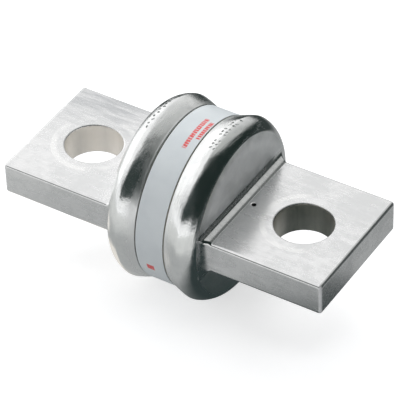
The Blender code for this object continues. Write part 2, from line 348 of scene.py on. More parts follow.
def makeTerminal(name):
    piece = makeBell(name)
    bar = makeBlade(name + "Blade")
    piece.data.materials.append(bellMetal)
    bar.data.materials.append(bladeMetal)
    combine(piece, bar, "UNION")
    drillHole(piece)
    return piece


# Shader helpers
def plugIn(tree, socket, value):
    if isinstance(value, bpy.types.NodeSocket):
        tree.links.new(value, socket)
    else:
        socket.default_value = value


def addNode(tree, kind, settings=None, **inputs):
    node = tree.nodes.new(kind)
    for key, value in (settings or {}).items():
        setattr(node, key, value)
    for key, value in inputs.items():
        plugIn(tree, node.inputs[key.replace("_", " ")], value)
    return node


def maths(tree, operation, *values):
    node = tree.nodes.new("ShaderNodeMath")
    node.operation = operation
    for socket, value in zip(node.inputs, values):
        plugIn(tree, socket, value)
    return node.outputs[0]


def product(tree, first, *others):
    for value in others:
        first = maths(tree, "MULTIPLY", first, value)
    return first


def total(tree, first, *others):
    for value in others:
        first = maths(tree, "ADD", first, value)
    return first


def weighted(tree, *pairs):
    # the sum of each value times its share
    return total(tree, *[product(tree, value, share) for value, share in pairs])


def remap(tree, value, low, high, toLow, toHigh, smooth=True):
    node = tree.nodes.new("ShaderNodeMapRange")
    node.interpolation_type = "SMOOTHSTEP" if smooth else "LINEAR"
    names = ("Value", "From Min", "From Max", "To Min", "To Max")
    for name, number in zip(names, (value, low, high, toLow, toHigh)):
        plugIn(tree, node.inputs[name], number)
    return node.outputs["Result"]


def fadeIn(tree, value, start, end):
    return remap(tree, value, start, end, 0.0, 1.0)


def fadeOut(tree, value, start, end):
    return remap(tree, value, start, end, 1.0, 0.0)


def axesOf(tree, vector):
    return addNode(tree, "ShaderNodeSeparateXYZ", Vector=vector).outputs


def lengthAlong(tree, split, axes):
    squares = [product(tree, split[axis], split[axis]) for axis in axes]
    return maths(tree, "SQRT", total(tree, *squares))


def noise(tree, vector, scale, detail=3.0, roughness=0.5, distortion=0.0):
    node = addNode(
        tree, "ShaderNodeTexNoise", Vector=vector, Scale=scale, Detail=detail,
        Roughness=roughness, Distortion=distortion)
    return node.outputs["Fac"]


# a mix node's colour and number sockets share their names, so they are taken by place: two inputs, one output
mixSockets = {"RGBA": (6, 7, 2), "FLOAT": (2, 3, 0)}


def mixNode(tree, kind, share, first, second):
    node = tree.nodes.new("ShaderNodeMix")
    node.data_type = kind
    firstIn, secondIn, out = mixSockets[kind]
    plugIn(tree, node.inputs["Factor"], share)
    plugIn(tree, node.inputs[firstIn], first)
    plugIn(tree, node.inputs[secondIn], second)
    return node.outputs[out]


def blend(tree, share, first, second):
    return mixNode(tree, "RGBA", share, first, second)


def blendValue(tree, share, first, second):
    return mixNode(tree, "FLOAT", share, first, second)


def stretch(tree, vector, scale):
    return addNode(tree, "ShaderNodeMapping", Vector=vector, Scale=scale).outputs["Vector"]


def newGroup(name, inputs, outputs):
    tree = bpy.data.node_groups.new(name, "ShaderNodeTree")
    for label, kind in inputs:
        tree.interface.new_socket(name=label, in_out="INPUT", socket_type="NodeSocket" + kind)
    for label, kind in outputs:
        tree.interface.new_socket(name=label, in_out="OUTPUT", socket_type="NodeSocket" + kind)
    start = tree.nodes.new("NodeGroupInput")
    end = tree.nodes.new("NodeGroupOutput")
    return tree, start.outputs, end.inputs


plated = {
    "colourShares": (0.45, 0.30, 0.25),      # of the cloud, the grain and the mottle
    "colourFade": (0.40, 0.60),
    "wearFade": (0.38, 0.62),
    "scuffWidth": 0.012,
    "scuffPale": 0.35,
    "scuffDepth": 0.15,
}
lineBreaks = {"wander": 0.12, "fade": (0.42, 0.58), "least": 0.15}
edgeStart = 0.3               # share of the wear's width that is worn right through


def makePlatedGroup():
    # plated metal: streaks along one way, cloudy patches, fine mottling and a few hairline scuffs
    tree, given, result = newGroup("platedSurface", [
        ("Vector", "Vector"), ("Grain", "Vector"), ("Cloud Scale", "Float"), ("Mottle Scale", "Float"),
        ("Scuff Scale", "Float"), ("Scuff Amount", "Float"),
        ("Light", "Color"), ("Dark", "Color"), ("Smooth", "Float"), ("Rough", "Float"),
    ], [("Colour", "Color"), ("Roughness", "Float"), ("Height", "Float")])
    grain = noise(tree, stretch(tree, given["Vector"], given["Grain"]), 1.0, 4.0, 0.6)
    cloud = noise(tree, given["Vector"], given["Cloud Scale"], 4.0, 0.62, 0.4)
    mottle = noise(tree, given["Vector"], given["Mottle Scale"], 3.0, 0.6)
    hair = noise(tree, given["Vector"], given["Scuff Scale"], 2.0, 0.55, 1.6)
    line = maths(tree, "ABSOLUTE", maths(tree, "SUBTRACT", hair, 0.5))
    scuff = product(tree, fadeOut(tree, line, 0.0, plated["scuffWidth"]), given["Scuff Amount"])
    mixed = weighted(tree, *zip((cloud, grain, mottle), plated["colourShares"]))
    colour = blend(tree, fadeIn(tree, mixed, *plated["colourFade"]), given["Dark"], given["Light"])
    colour = blend(tree, product(tree, scuff, plated["scuffPale"]), colour, given["Light"])
    tree.links.new(colour, result["Colour"])
    wear = weighted(tree, (grain, 0.5), (cloud, 0.5))
    rough = remap(tree, wear, *plated["wearFade"], given["Rough"], given["Smooth"])
    tree.links.new(rough, result["Roughness"])
    body = weighted(tree, (grain, 1.0), (cloud, 0.5))
    height = maths(tree, "SUBTRACT", body, product(tree, scuff, plated["scuffDepth"]))
    tree.links.new(height, result["Height"])
    return tree


def makeRingGroup():
    # turning lines round the fuse's axis, broken up so that they come and go
    tree, given, result = newGroup("turningLines", [
        ("Vector", "Vector"), ("Line Scale", "Float"), ("Patch Scale", "Float"), ("Amount", "Float"),
    ], [("Mask", "Float")])
    split = axesOf(tree, given["Vector"])
    radius = lengthAlong(tree, split, "YZ")
    spot = addNode(tree, "ShaderNodeCombineXYZ", X=split["X"], Y=radius, Z=0.0).outputs["Vector"]
    wander = stretch(tree, given["Vector"], (0.0, lineBreaks["wander"], lineBreaks["wander"]))
    moved = addNode(tree, "ShaderNodeVectorMath", settings={"operation": "ADD"})
    tree.links.new(spot, moved.inputs[0])
    tree.links.new(wander, moved.inputs[1])
    lines = noise(tree, moved.outputs["Vector"], given["Line Scale"], 4.0, 0.6)
    patch = noise(tree, given["Vector"], given["Patch Scale"], 2.0)
    patch = remap(tree, patch, *lineBreaks["fade"], lineBreaks["least"], 1.0)
    centred = maths(tree, "SUBTRACT", lines, 0.5)
    tree.links.new(product(tree, centred, patch, given["Amount"]), result["Mask"])
    return tree


def makeEdgeGroup():
    # 1 along the worn edges of a block whose half size is given; upright corners come out on their own
    tree, given, result = newGroup("edgeWear", [
        ("Vector", "Vector"), ("Half Size", "Vector"), ("Width", "Float"),
    ], [("Long Edges", "Float"), ("Corners", "Float")])
    spot = axesOf(tree, given["Vector"])
    half = axesOf(tree, given["Half Size"])
    start = product(tree, given["Width"], edgeStart)
    near = {}
    for axis in "XYZ":
        inside = maths(tree, "SUBTRACT", half[axis], maths(tree, "ABSOLUTE", spot[axis]))
        near[axis] = fadeOut(tree, inside, start, given["Width"])
    rims = product(tree, maths(tree, "MAXIMUM", near["X"], near["Y"]), near["Z"])
    tree.links.new(rims, result["Long Edges"])
    tree.links.new(product(tree, near["X"], near["Y"]), result["Corners"])
    return tree


def newMaterial(name, metallic):
    material = bpy.data.materials.new(name)
    material.use_nodes = True
    tree = material.node_tree
    shader = tree.nodes["Principled BSDF"]
    shader.inputs["Metallic"].default_value = metallic
    place = tree.nodes.new("ShaderNodeTexCoord").outputs["Object"]
    return material, tree, shader, place


def setSurface(tree, shader, colour, rough):
    tree.links.new(colour, shader.inputs["Base Color"])
    tree.links.new(rough, shader.inputs["Roughness"])


bumpDepth = 0.0002


def addBump(tree, shader, height, strength, distance=bumpDepth):
    bump = addNode(tree, "ShaderNodeBump", Height=height)
    bump.inputs["Strength"].default_value = strength
    bump.inputs["Distance"].default_value = distance
    tree.links.new(bump.outputs["Normal"], shader.inputs["Normal"])


platedSurface = makePlatedGroup()
turningLines = makeRingGroup()
edgeWear = makeEdgeGroup()


def useGroup(tree, group, **inputs):
    node = tree.nodes.new("ShaderNodeGroup")
    node.node_tree = group
    for key, value in inputs.items():
        plugIn(tree, node.inputs[key.replace("_", " ")], value)
    return node.outputs


bladeFinish = {
    "light": (0.855, 0.855, 0.855, 1),
    "dark": (0.75, 0.755, 0.755, 1),
    "grain": (160, 900, 900),
    "cloudScale": 130,
    "mottleScale": 700,
    "scuffScale": 240,
    "scuffAmount": 0.5,
    "smooth": 0.20,
    "rough": 0.32,
    "bump": 0.008,
    "edgeWidth": 0.0008,
    "edgeRough": 0.06,
    "flatMetal": 0.89,
    "rootMetal": 0.80,                  # duller beside the root
    "cornerMetal": 0.15,                # metallic value of the burnished upright corners
    "backShade": (0.54, 0.55, 0.56, 1),   # painted shade: the line blade darker towards its back, in streaks
    "backShadeYFade": (-0.001, 0.013),     # where it fades in towards the back
    "backShadeXFade": (-0.013, -0.028),    # and towards the line blade's tip
    "backShadeGrain": (120, 900, 900),
    "seat": (0.93, 0.93, 0.92, 1),      # ring left by a washer round each hole
    "seatInside": (0.0078, 0.0084),     # where it fades in and out, from the hole's middle
    "seatOutside": (0.0092, 0.0095),
    "seatScale": 160.0,
    "seatShare": 0.8,
    "beadEnd": (0.0019, 0.0024),        # from the bell's face, where the smooth bead ends
    "dullEnd": (0.003, 0.009),          # and where the duller part beside the root does
}
bellFinish = {
    "light": (0.88, 0.89, 0.88, 1),
    "dark": (0.79, 0.80, 0.80, 1),
    "grain": (900, 300, 300),
    "cloudScale": 120,
    "mottleScale": 500,
    "scuffScale": 200,
    "scuffAmount": 0.35,
    "smooth": 0.09,
    "rough": 0.22,
    "bump": 0.085,
    "faceRough": 0.22,        # added on the flat face, which the rolling leaves satin
    "faceMetal": 0.50,        # its metallic value, lower for the satin haze
    "faceStart": 0.0003,      # how far below the face its finish fades in
    "faceRim": (-0.0002, 0.0003),       # and where it ends, from the face's edge outward
    "hazeHeight": (-0.002, 0.005),      # the haze is weak below the blade
    "hazeLow": 0.15,
    "hazeScale": 240.0,
    "hazeCloud": (0.38, 0.62, 0.50, 1.20),
    "hazeRim": (-0.003, -0.0002),
    "hazeAtRim": 0.35,
    "lipRough": 0.20,         # added towards the lip
    "lipFade": (0.0003, 0.0026),
    "dentScale": 170,
    "dentAmount": 0.6,
    "topRough": (0.14, 0.04),           # added round the stamped top, on the line bell and on the load bell
    "topHeight": (0.015, 0.019),
    "topScale": 420.0,
    "topPatches": (0.42, 0.60, 0.25, 1.0),
    "middleFade": (-0.003, 0.003),      # between the two bells
    "ringPatchScale": 70.0,
    "ringTint": 0.06,
    "ringTintShare": 0.5,
    "ringScale": 1300,
    "ringAmount": 0.35,
    "poreScale": 2400,
    "poreAmount": 0.07,
}
boreFinish = {
    # painted light and shade: the line side's wall is lighter and the load side's darker, for the floor that
    # each wall mirrors
    "lineLitTones": [(0.95, 0.92, 0.875, 1), (0.89, 0.86, 0.81, 1)],
    "loadShadedTones": [(0.78, 0.76, 0.70, 1), (0.66, 0.64, 0.59, 1)],
    "streaks": (900, 900, 60),
    "cloudScale": 300.0,
    "toneFade": (0.36, 0.64),
    "roughFade": (0.3, 0.7),
    "smooth": 0.38,
    "rough": 0.54,
    "metal": (0.70, 1.0),     # of the line and the load side's hole
    "bump": 0.15,
}


def finishSurface(tree, place, finish):
    return useGroup(
        tree, platedSurface, Vector=place, Grain=finish["grain"], Cloud_Scale=finish["cloudScale"],
        Mottle_Scale=finish["mottleScale"], Scuff_Scale=finish["scuffScale"],
        Scuff_Amount=finish["scuffAmount"], Light=finish["light"], Dark=finish["dark"],
        Smooth=finish["smooth"], Rough=finish["rough"])


def makeBladeMetal():
    finish = bladeFinish
    material, tree, shader, place = newMaterial("bladeMetal", 1.0)
    surface = finishSurface(tree, place, finish)
    split = axesOf(tree, place)
    out = maths(tree, "ABSOLUTE", split["X"])
    # washer seat: a pale ring round the hole
    beside = maths(tree, "SUBTRACT", out, blade["holeX"])
    fromHole = lengthAlong(tree, {"X": beside, "Y": split["Y"]}, "XY")
    patches = noise(tree, place, finish["seatScale"], 2.0)
    patches = remap(tree, patches, 0.42, 0.58, 0.0, finish["seatShare"])
    seat = product(
        tree, fadeIn(tree, fromHole, *finish["seatInside"]), fadeOut(tree, fromHole, *finish["seatOutside"]),
        patches)
    colour = blend(tree, seat, surface["Colour"], finish["seat"])
    # painted shade in streaks, darker towards the back of the line blade
    streaks = noise(tree, stretch(tree, place, finish["backShadeGrain"]), 1.0, 3.0, 0.6)
    backShade = product(
        tree, fadeIn(tree, split["Y"], *finish["backShadeYFade"]),
        fadeIn(tree, split["X"], *finish["backShadeXFade"]), remap(tree, streaks, 0.35, 0.65, 0.35, 1.0))
    colour = blend(tree, backShade, colour, finish["backShade"])
    edges = useGroup(tree, edgeWear, Vector=place, Width=finish["edgeWidth"],
                     Half_Size=(blade["tipX"], blade["width"] / 2, blade["thickness"] / 2))
    rough = blendValue(tree, edges["Long Edges"], surface["Roughness"], finish["edgeRough"])
    setSurface(tree, shader, colour, rough)
    # the bead at the root is smooth and bright; past it the plating is slightly dull
    fromFace = maths(tree, "SUBTRACT", out, bell["faceX"])
    away = fadeIn(tree, fromFace, *finish["beadEnd"])
    flat = remap(tree, fromFace, *finish["dullEnd"], finish["rootMetal"], finish["flatMetal"])
    metal = blendValue(tree, away, 1.0, flat)
    metal = blendValue(tree, edges["Corners"], metal, finish["cornerMetal"])
    tree.links.new(metal, shader.inputs["Metallic"])
    addBump(tree, shader, product(tree, surface["Height"], away), finish["bump"])
    return material


def makeBoreMetal():
    # the bolt holes' walls: thin plating over a warmer metal, with tool streaks along the hole; the line
    # side's wall is painted lighter, a painted reflection of lit floor, and the load side's wall darker, a
    # painted shade
    finish = boreFinish
    material, tree, shader, place = newMaterial("boreMetal", 1.0)
    streaks = noise(tree, stretch(tree, place, finish["streaks"]), 1.0, 3.0, 0.6)
    loadSide = fadeIn(tree, axesOf(tree, place)["X"], -0.01, 0.01)
    tree.links.new(blendValue(tree, loadSide, *finish["metal"]), shader.inputs["Metallic"])
    cloud = noise(tree, place, finish["cloudScale"], 2.0)
    share = fadeIn(tree, weighted(tree, (streaks, 0.6), (cloud, 0.4)), *finish["toneFade"])
    tones = zip(finish["lineLitTones"], finish["loadShadedTones"])
    light, dark = [blend(tree, loadSide, *pair) for pair in tones]
    rough = remap(tree, streaks, *finish["roughFade"], finish["smooth"], finish["rough"])
    setSurface(tree, shader, blend(tree, share, dark, light), rough)
    addBump(tree, shader, streaks, finish["bump"])
    return material


def makeBellMetal():
    finish = bellFinish
    material, tree, shader, place = newMaterial("bellMetal", 1.0)
    surface = finishSurface(tree, place, finish)
    rings = useGroup(tree, turningLines, Vector=place, Line_Scale=finish["ringScale"],
                     Patch_Scale=finish["ringPatchScale"], Amount=finish["ringAmount"])["Mask"]
    split = axesOf(tree, place)
    fromMiddle = maths(tree, "ABSOLUTE", split["X"])
    fromRim = maths(tree, "SUBTRACT", lengthAlong(tree, split, "YZ"), bell["faceRadius"])
    face = product(
        tree, fadeIn(tree, fromMiddle, bell["faceX"] - finish["faceStart"], bell["faceX"]),
        fadeOut(tree, fromRim, *finish["faceRim"]))
    fromLip = maths(tree, "SUBTRACT", fromMiddle, bell["lipX"])
    lip = remap(tree, fromLip, *finish["lipFade"], finish["lipRough"], 0.0)
    patches = remap(tree, noise(tree, place, finish["topScale"], 3.0, 0.6), *finish["topPatches"])
    topRough = remap(tree, split["X"], *finish["middleFade"], *finish["topRough"])
    top = product(tree, fadeIn(tree, split["Z"], *finish["topHeight"]), patches, topRough)
    rough = total(tree, surface["Roughness"], product(tree, face, finish["faceRough"]), lip, top)
    # satin haze on the face, in clouds, weaker below the blade and towards the rim
    cloud = remap(tree, noise(tree, place, finish["hazeScale"], 4.0, 0.6), *finish["hazeCloud"])
    upper = remap(tree, split["Z"], *finish["hazeHeight"], finish["hazeLow"], 1.0)
    rim = remap(tree, fromRim, *finish["hazeRim"], 1.0, finish["hazeAtRim"])
    haze = product(tree, face, upper, cloud, rim)
    tree.links.new(remap(tree, haze, 0.0, 1.0, 1.0, finish["faceMetal"]), shader.inputs["Metallic"])
    dents = noise(tree, place, finish["dentScale"], 2.0, 0.45, 0.3)
    pores = noise(tree, place, finish["poreScale"], 2.0)
    height = weighted(
        tree, (surface["Height"], finish["bump"]), (dents, finish["dentAmount"]), (rings, 1.0),
        (pores, finish["poreAmount"]))
    tint = fadeIn(tree, rings, -finish["ringTint"], finish["ringTint"])
    colour = blend(tree, product(tree, tint, finish["ringTintShare"]), surface["Colour"], finish["dark"])
    setSurface(tree, shader, colour, rough)
    addBump(tree, shader, height, 1.0)
    return material


def makePunchMetal():
    # the bottom of the mark, where the plating is thin; its near-black colour is painted shade in the pit
    material, tree, shader, place = newMaterial("punchMetal", 0.6)
    pitShade = noise(tree, place, 4000.0, 2.0)
    colour = blend(tree, pitShade, punchMark["pitShade"], punchMark["inside"])
    setSurface(tree, shader, colour, remap(tree, pitShade, 0.3, 0.7, 0.55, 0.75))
    return material


bellMetal = makeBellMetal()
boreMetal = makeBoreMetal()
punchMetal = makePunchMetal()
bladeMetal = makeBladeMetal()
print("metal finishes made")

loadTerminal = makeTerminal("loadTerminal")
makeActive(loadTerminal)
bpy.ops.object.duplicate()
lineTerminal = bpy.context.object
lineTerminal.name = "lineTerminal"
editAll(lineTerminal)
bpy.ops.transform.rotate(value=math.pi, orient_axis="Z", center_override=(0, 0, 0))
leaveEdit()

for step in ("dish", "pit"):
    deselectAll()
    radius, low, depth = punchMark[step]
    bpy.ops.mesh.primitive_cone_add(
        vertices=punchMark["segments"], radius1=radius * low, radius2=radius * (2 - low),
        depth=depth * 2, location=(punchMark["x"], 0, blade["thickness"] / 2))
    combine(loadTerminal, bpy.context.object, "DIFFERENCE", bladeMetal if step == "dish" else punchMetal)
deselectAll()
bpy.ops.mesh.primitive_cylinder_add(
    vertices=fillHole["segments"], radius=fillHole["radius"], depth=drillLength["fill"],
    location=(-bell["faceX"], 0, fillHole["z"]), rotation=(0, math.radians(90), 0))
combine(lineTerminal, bpy.context.object, "DIFFERENCE")
# rows of plain dents and ticks where the crests are stamped, none of them touching another
stampMarks = {
    "radius": 0.00034,
    "flare": 0.2,
    "depth": 0.00022,
    "narrow": 0.8,
    "segments": 16,
    "curveSteps": (200, 60),      # fine steps, to find the bell's slope at a mark
    # place along the fuse, angle from the top towards the back, turn and length of the mark
    "load": [
        (0.0078, -14.5, 20, 1.25), (0.0067, -14, 80, 1.2), (0.0077, -11.5, 100, 1.1), (0.0068, -11, 30, 1.3),
        (0.0078, -8.5, 60, 1.2), (0.0067, -8.2, 0, 1.0), (0.0078, -2.8, 35, 1.3), (0.0067, -2.5, 90, 1.2),
        (0.0077, 0, 70, 1.3), (0.0066, 0.4, 10, 1.2), (0.0078, 2.9, 20, 1.25), (0.0067, 3.3, 100, 1.1),
        (0.0077, 7.6, 50, 1.3), (0.0067, 8, 0, 1.2), (0.0078, 10.6, 90, 1.1), (0.0067, 11, 40, 1.3),
        (0.0077, 16, 10, 1.2),
    ],
    "line": [
        (-0.0083, -16, 0, 1.3), (-0.0086, -12.8, 60, 1.0), (-0.0082, -9.6, 90, 1.2), (-0.0086, -6.4, 20, 1.2),
        (-0.0082, -3.2, 50, 1.3), (-0.0086, 0, 0, 1.0), (-0.0082, 3.2, 80, 1.2), (-0.0085, 6.4, 30, 1.3),
        (-0.0083, 9.6, 60, 1.0), (-0.0086, 12.8, 10, 1.3), (-0.0084, 35, 0, 1.0),
    ],
}


def crestPoint(x, angle):
    # the place on the bell's curve and the direction straight out of it
    shoulderSteps, flankSteps = stampMarks["curveSteps"]
    stations = shoulderStations(shoulderSteps) + flankStations(flankSteps)
    near = min(range(1, len(stations) - 1), key=lambda index: abs(stations[index][0] - abs(x)))
    before, after = stations[near - 1], stations[near + 1]
    slope = (after[0] - before[0], after[1] - before[1])
    lean = math.hypot(*slope)
    out = (slope[1] / lean, -slope[0] / lean)
    if out[1] < 0:
        out = (-out[0], -out[1])
    side = 1 if x > 0 else -1
    turn = math.radians(angle)
    radius = stations[near][1]
    place = (x, radius * math.sin(turn), radius * math.cos(turn))
    direction = (side * out[0], out[1] * math.sin(turn), out[1] * math.cos(turn))
    return Vector(place), Vector(direction)


def stampBell(piece, marks):
    radius, flare = stampMarks["radius"], stampMarks["flare"]
    tools = []
    for x, angle, turn, longer in marks:
        place, direction = crestPoint(x, angle)
        facing = direction.to_track_quat("Z", "Y") @ Quaternion((0, 0, 1), math.radians(turn))
        deselectAll()
        bpy.ops.mesh.primitive_cone_add(
            vertices=stampMarks["segments"], radius1=radius * (1 - flare), radius2=radius * (1 + flare),
            depth=stampMarks["depth"] * 2, location=place, rotation=facing.to_euler(),
            scale=(longer, stampMarks["narrow"], 1))
        tool = bpy.context.object
        fixPlace(tool)
        tools.append(tool)
    deselectAll()
    for tool in tools:
        tool.select_set(True)
    bpy.context.view_layer.objects.active = tools[0]
    bpy.ops.object.join()
    combine(piece, tools[0], "DIFFERENCE")


stampBell(loadTerminal, stampMarks["load"])
stampBell(lineTerminal, stampMarks["line"])
for piece in (loadTerminal, lineTerminal):
    dropSlivers(piece)
    evenShading(piece)
    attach(piece, "root")
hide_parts("load_terminal")
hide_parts("line_terminal")
print("terminals modelled")


# Label
label = {
    "half": 0.0033,
    "inside": 0.0191,
    "outside": 0.01925,
    "edgeRound": 0.00003,
    "slit": 0.0006,
    "slitTool": (0.02, 0.004),    # its length along the fuse and its height
    "segments": 256,
    "paper": (0.715, 0.755, 0.765, 1),
    "shade": (0.665, 0.705, 0.72, 1),
    "ink": (0.74, 0.04, 0.035, 1),
    "softEdges": (0.05, 0.3),     # of a printed field, in millimetres and degrees
    "barEdge": (-0.8, -0.4),      # heights of the wave between which a bar's ink fades in
    "unevenScale": 0.9,
    "unevenAmount": 3.0,
    # plain bars and blocks: millimetres along the fuse, degrees from the top, and how closely
    # the bars follow each other
    "print": [
        {"across": (0.55, 1.55), "around": (-19, 10), "bars": 3.2},
        {"across": (2.15, 3.05), "around": (-10, 8), "bars": 3.2},
        {"across": (-1.3, 0.5), "around": (-111, -106), "bars": 0},
    ],
}


def printBlock(tree, across, around, block):
    # a soft-edged field of ink, in millimetres along the fuse and degrees round it
    soft, softTurn = label["softEdges"]
    sides = []
    for value, (start, end), fade in (
            (across, block["across"], soft), (around, block["around"], softTurn)):
        sides.append(remap(tree, value, start - fade, start + fade, 0.0, 1.0))
        sides.append(remap(tree, value, end - fade, end + fade, 1.0, 0.0))
    mask = product(tree, *sides)
    if block["bars"]:
        spot = addNode(tree, "ShaderNodeCombineXYZ", X=across, Y=around, Z=0.0).outputs["Vector"]
        centred = maths(tree, "SUBTRACT", noise(tree, spot, label["unevenScale"], 2.0), 0.5)
        wave = maths(tree, "SINE", product(tree, around, block["bars"]))
        wave = total(tree, wave, product(tree, centred, label["unevenAmount"]))
        mask = product(tree, mask, remap(tree, wave, *label["barEdge"], 0.15, 1.0))
    return mask


def labelMaterial():
    material, tree, shader, place = newMaterial("labelFilm", 0.0)
    split = axesOf(tree, place)
    across = product(tree, split["X"], 1000.0)
    around = product(tree, maths(tree, "ARCTAN2", split["Y"], split["Z"]), 180 / math.pi)
    cloud = noise(tree, place, 140.0, 3.0)
    paper = blend(tree, fadeIn(tree, cloud, 0.35, 0.65), label["shade"], label["paper"])
    ink = 0.0
    for block in label["print"]:
        ink = maths(tree, "MAXIMUM", printBlock(tree, across, around, block), ink)
    fibres = noise(tree, place, 2500.0, 3.0)
    worn = product(tree, ink, remap(tree, fibres, 0.25, 0.5, 0.55, 0.92))
    rough = remap(tree, fibres, 0.3, 0.7, 0.38, 0.50)
    setSurface(tree, shader, blend(tree, worn, paper, label["ink"]), rough)
    addBump(tree, shader, fibres, 0.05, bumpDepth / 2)
    return material


def makeLabel():
    half, inside, outside, edge = (label[key] for key in ("half", "inside", "outside", "edgeRound"))
    piece = turnFrom("labelWrap", [
        (half, inside),
        (half, outside - edge),
        (half - edge, outside),
        (edge - half, outside),
        (-half, outside - edge),
        (-half, inside),
        (half, inside),
    ], label["segments"], "loop")
    piece.data.materials.append(labelMaterial())
    slitLength, slitHeight = label["slitTool"]
    deselectAll()
    bpy.ops.mesh.primitive_cube_add(
        size=1, location=(0, 0, -inside), scale=(slitLength, label["slit"], slitHeight))
    slitTool = bpy.context.object
    fixPlace(slitTool)
    combine(piece, slitTool, "DIFFERENCE")
    evenShading(piece)
    return piece


labelWrap = makeLabel()
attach(labelWrap, "root")
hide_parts("label_wrap")
print("label modelled")


# Finishes of the CAD nodes that stay: the casing tube, its washers, the sand, the plug and the ribbons
insideScuffs = {"scuffScale": 300.0, "scuffAmount": 0.3}      # on the metal ones only
sameFinish = {
    "load_end_washer": ["line_end_washer"],
    "fuse_element_01": ["fuse_element_%02d" % number for number in range(2, 11)],
}
insideFinishes = {
    "casing_tube": {
        "metal": 0.0, "light": (0.62, 0.60, 0.50, 1), "dark": (0.47, 0.45, 0.36, 1), "bump": 0.25,
        "grain": (1400, 260, 260), "cloudScale": 90, "mottleScale": 900, "smooth": 0.42, "rough": 0.62},
    "load_end_washer": {
        "metal": 0.0, "light": (0.36, 0.31, 0.24, 1), "dark": (0.24, 0.20, 0.155, 1), "bump": 0.3,
        "grain": (300, 1100, 1100), "cloudScale": 150, "mottleScale": 1500, "smooth": 0.5, "rough": 0.75},
    "sand_filler": {
        "metal": 0.0, "light": (0.80, 0.76, 0.66, 1), "dark": (0.50, 0.45, 0.36, 1), "bump": 1.0,
        "grain": (2600, 2600, 2600), "cloudScale": 1700, "mottleScale": 4200, "smooth": 0.35, "rough": 0.85},
    "filler_plug": {
        "metal": 1.0, "light": (0.62, 0.62, 0.61, 1), "dark": (0.36, 0.36, 0.36, 1), "bump": 0.12,
        "grain": (200, 1800, 1800), "cloudScale": 420, "mottleScale": 2600, "smooth": 0.24, "rough": 0.46},
    "fuse_element_01": {
        "metal": 1.0, "light": (0.90, 0.88, 0.84, 1), "dark": (0.76, 0.74, 0.70, 1), "bump": 0.08,
        "grain": (70, 1500, 1500), "cloudScale": 260, "mottleScale": 1400, "smooth": 0.16, "rough": 0.34},
}


def insideMaterial(name, finish):
    material, tree, shader, place = newMaterial(name, finish["metal"])
    scuffs = {**insideScuffs, "scuffAmount": insideScuffs["scuffAmount"] * finish["metal"]}
    surface = finishSurface(tree, place, {**finish, **scuffs})
    setSurface(tree, shader, surface["Colour"], surface["Roughness"])
    addBump(tree, shader, surface["Height"], finish["bump"])
    return material


def giveFinish(node, material):
    for index in range(len(nodes[node].material_slots)):
        nodes[node].material_slots[index].material = material


for node, finish in insideFinishes.items():
    material = insideMaterial(node + "Finish", finish)
    for other in [node] + sameFinish.get(node, []):
        giveFinish(other, material)
print("inner parts finished")


# Floor, world, lamps and cards
def emptyTree(owner):
    owner.use_nodes = True
    owner.node_tree.nodes.clear()
    return owner.node_tree


def endTree(tree, surface, kind="Material"):
    end = tree.nodes.new("ShaderNodeOutput" + kind)
    tree.links.new(surface, end.inputs["Surface"])


def mixShaders(tree, share, first, second):
    either = tree.nodes.new("ShaderNodeMixShader")
    for socket, source in zip(either.inputs, (share, first, second)):
        tree.links.new(source, socket)
    return either.outputs[0]


def emissionMaterial(name, colour, strength):
    material = bpy.data.materials.new(name)
    tree = emptyTree(material)
    glow = addNode(tree, "ShaderNodeEmission", Color=colour, Strength=strength)
    endTree(tree, glow.outputs[0])
    return material


def seenRays(tree):
    # rays that should meet the white background: straight, mirrored or through glass
    path = tree.nodes.new("ShaderNodeLightPath").outputs
    seen = maths(tree, "MAXIMUM", path["Is Camera Ray"], path["Is Glossy Ray"])
    return maths(tree, "MAXIMUM", seen, path["Is Transmission Ray"])


floorSetup = {"size": 8.0, "z": -0.0205, "albedo": (0.70, 0.70, 0.70, 1), "lift": 0.60}


def makeFloor():
    deselectAll()
    bpy.ops.mesh.primitive_plane_add(size=floorSetup["size"], location=(0, 0, floorSetup["z"]))
    floor = bpy.context.object
    floor.name = "studioFloor"
    material = bpy.data.materials.new("studioFloor")
    tree = emptyTree(material)
    matt = addNode(tree, "ShaderNodeBsdfDiffuse", Color=floorSetup["albedo"])
    glow = addNode(tree, "ShaderNodeEmission", Strength=product(tree, seenRays(tree), floorSetup["lift"]))
    both = tree.nodes.new("ShaderNodeAddShader")
    tree.links.new(matt.outputs[0], both.inputs[0])
    tree.links.new(glow.outputs[0], both.inputs[1])
    endTree(tree, both.outputs[0])
    floor.data.materials.append(material)


studioWorld = {
    "fill": {"Color": (0.95, 0.97, 1.0, 1), "Strength": 0.45},
    "white": {"Color": (1, 1, 1, 1), "Strength": 1.0},      # for the rays that seenRays picks out
}


def makeWorld():
    world = bpy.data.worlds.new("studio")
    bpy.context.scene.world = world
    tree = emptyTree(world)
    fill = addNode(tree, "ShaderNodeBackground", **studioWorld["fill"])
    white = addNode(tree, "ShaderNodeBackground", **studioWorld["white"])
    endTree(tree, mixShaders(tree, seenRays(tree), fill.outputs[0], white.outputs[0]), "World")


lamps = {
    "keySoftbox": {"place": (-0.55, 0.75, 0.95), "size": (0.9, 0.7), "power": 9.5},
    "topSoftbox": {"place": (0.1, 0.0, 1.3), "size": (0.8, 0.8), "power": 3.0},
    "frontFill": {"place": (-0.7, -0.9, 0.7), "size": (0.8, 0.8), "power": 2.0},
}


def addLamps():
    for name, lamp in lamps.items():
        data = bpy.data.lights.new(name, "AREA")
        data.shape = "RECTANGLE"
        data.size, data.size_y = lamp["size"]
        data.energy = lamp["power"]
        light = bpy.data.objects.new(name, data)
        light.location = lamp["place"]
        light.rotation_mode = "QUATERNION"
        light.rotation_quaternion = (-light.location).to_track_quat("-Z", "Y")
        light.visible_glossy = False
        bpy.context.scene.collection.objects.link(light)


# Flags and reflectors: only mirror reflections see them, and they throw no light or shadow
def onlyInReflections(piece):
    piece.visible_camera = False
    piece.visible_diffuse = False
    piece.visible_shadow = False
    piece.visible_transmission = False


